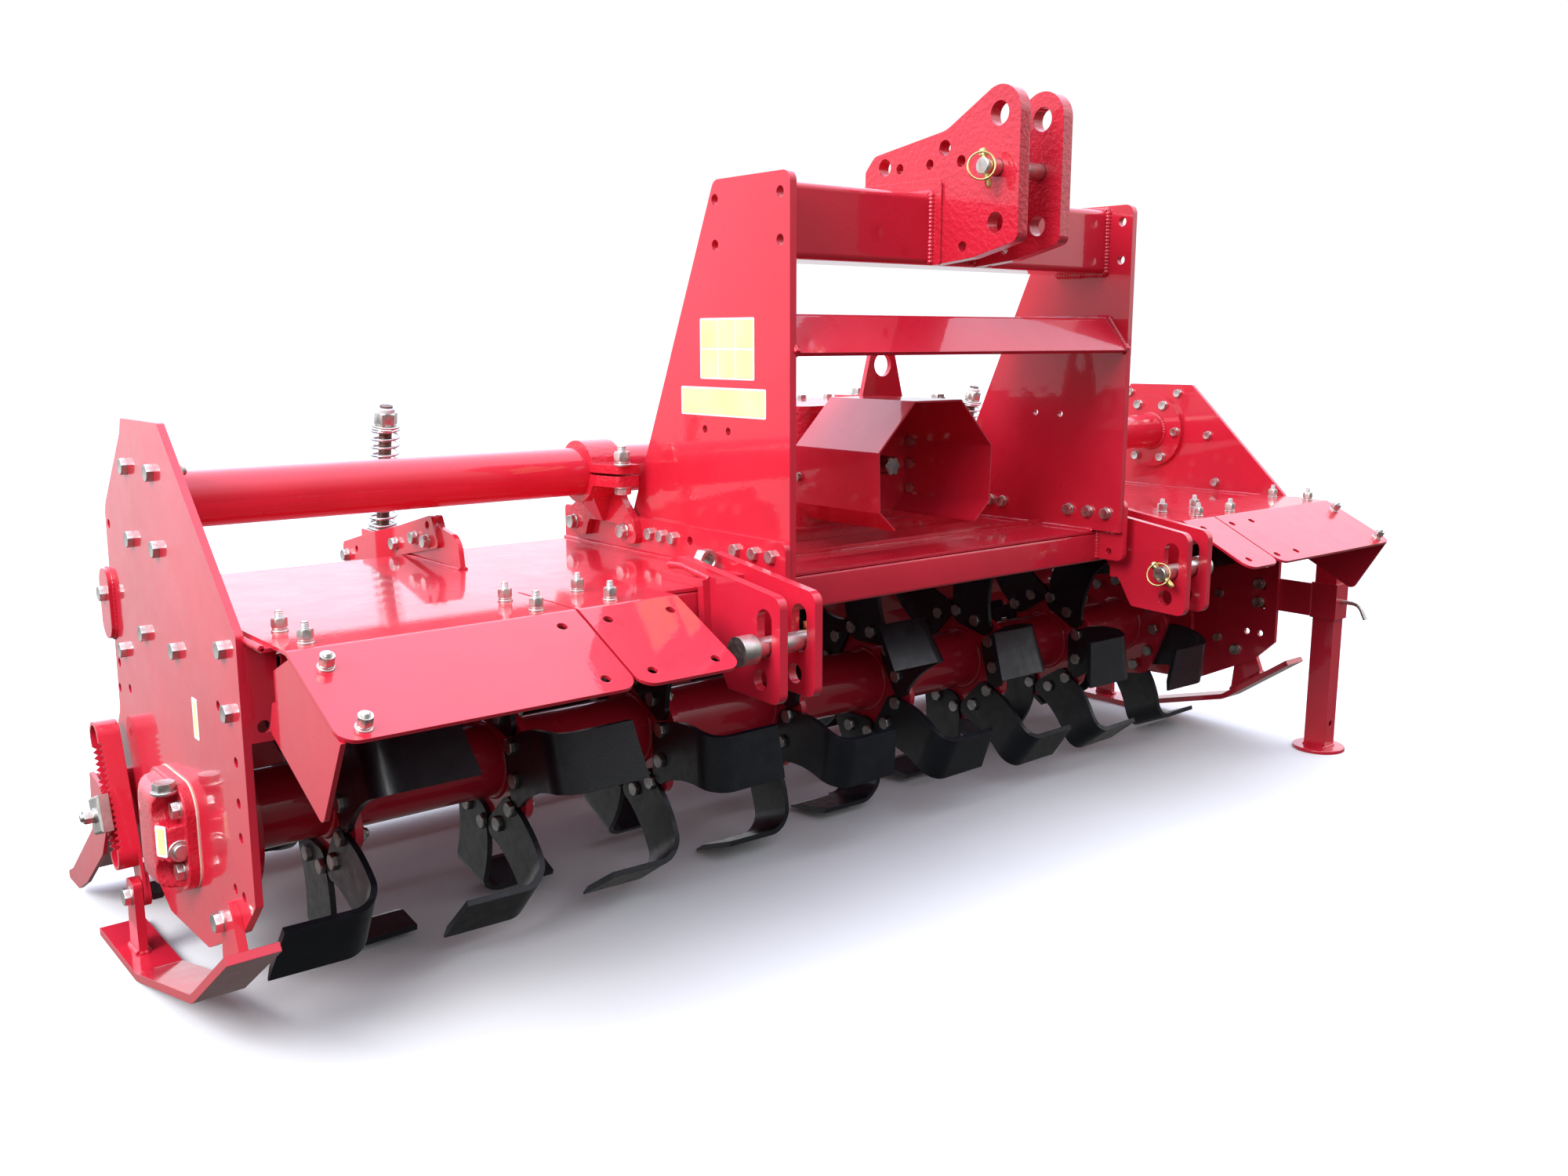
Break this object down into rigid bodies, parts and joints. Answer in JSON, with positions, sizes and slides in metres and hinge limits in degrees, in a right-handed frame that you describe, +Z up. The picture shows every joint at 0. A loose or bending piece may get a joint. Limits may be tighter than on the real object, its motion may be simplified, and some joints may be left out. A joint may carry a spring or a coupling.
{
  "type": "rotary tiller",
  "caption": "Heavy rotary tiller for a tractor's three-point hitch: bladed rotor, end plates, side gear drive, mast, depth skids and rear levelling board.",
  "frame": {"origin": "on the ground, halfway across the machine, below the rotor's axis", "axes": "+X across the machine to the left-hand side when driving (the side with the stand), +Y to the rear, -Y to the tractor, +Z up"},
  "size_m": [2.459, 1.113, 1.291],
  "materials": {
    "red_paint": "glossy bright red paint on steel plate",
    "cast_red": "glossy red paint on cast iron",
    "zinc_steel": "bright zinc plating, slightly dull",
    "bright_steel": "oiled machined steel",
    "black_blade": "satin black paint on forged steel"
  },
  "bodies": {
    "frame": {"bearing_housing": "cast_red", "cross_tube_left": "red_paint", "cross_tube_right": "red_paint", "deck_flanges": "red_paint", "deck_rear_sheet": "red_paint", "deck_ridge": "red_paint", "deck_sheet": "red_paint", "deflectors_inner": "red_paint", "deflectors_outer": "red_paint", "end_angles": "red_paint", "end_plate_left": "red_paint", "end_plate_right": "red_paint", "front_beam": "red_paint", "gear_case": "cast_red", "gearbox_cover": "cast_red", "gearbox_housing": "cast_red", "hitch_clevises": "red_paint", "hub_housings": "red_paint", "input_bearing": "red_paint", "lifting_eye": "red_paint", "lower_pins": "zinc_steel", "mast_plate_left": "red_paint", "mast_plate_right": "red_paint", "middle_bar": "red_paint", "pto_guard": "red_paint", "rod_brackets": "red_paint", "side_flaps": "red_paint", "skid_lugs": "red_paint", "skid_struts": "red_paint", "skids": "red_paint", "stand_bracket": "red_paint", "strut_clamps": "zinc_steel", "top_beam": "red_paint", "top_link_cheeks": "cast_red", "top_link_pin": "zinc_steel", "tube_caps": "cast_red", "tube_flange_left": "red_paint", "tube_flange_right": "red_paint", "tube_saddles": "cast_red"},
    "rotor": {"rotor_tube": "red_paint", "rotor_end_discs": "red_paint", "rotor_flanges": "red_paint", "tines_left": "black_blade", "tines_right": "black_blade"},
    "input": {"input_shaft": "bright_steel"},
    "board": {"levelling_board": "red_paint", "board_sides": "red_paint", "rod_lugs": "red_paint"},
    "rod_left": {"spring_rod_left": "zinc_steel"},
    "rod_right": {"spring_rod_right": "zinc_steel"},
    "stand": {"stand_leg": "red_paint"}
  },
  "joints": [
    {"name": "rotor_spin", "type": "hinge", "parent": "frame", "child": "rotor", "pos_m": [0, 0, 0.256], "axis": [1, 0, 0], "continuous": true},
    {"name": "input_spin", "type": "hinge", "parent": "frame", "child": "input", "pos_m": [0, -0.15, 0.7], "axis": [0, -1, 0], "continuous": true},
    {"name": "board_hinge", "type": "hinge", "parent": "frame", "child": "board", "pos_m": [0, 0.286, 0.44], "axis": [1, 0, 0], "range_deg": [0, 35]},
    {"name": "rod_left_pivot", "type": "hinge", "parent": "board", "child": "rod_left", "pos_m": [-0.717, 0.352, 0.308], "axis": [1, 0, 0], "range_deg": [-20, 0]},
    {"name": "rod_right_pivot", "type": "hinge", "parent": "board", "child": "rod_right", "pos_m": [0.717, 0.352, 0.308], "axis": [1, 0, 0], "range_deg": [-20, 0]},
    {"name": "stand_slide", "type": "slide", "parent": "frame", "child": "stand", "axis": [0, 0, 1], "range_m": [0, 0.28]}
  ],
  "couplings": [
    {"joint": "input_spin", "follows": "rotor_spin", "ratio": 2.6},
    {"joint": "rod_left_pivot", "follows": "board_hinge", "ratio": -0.503},
    {"joint": "rod_right_pivot", "follows": "board_hinge", "ratio": -0.503}
  ]
}
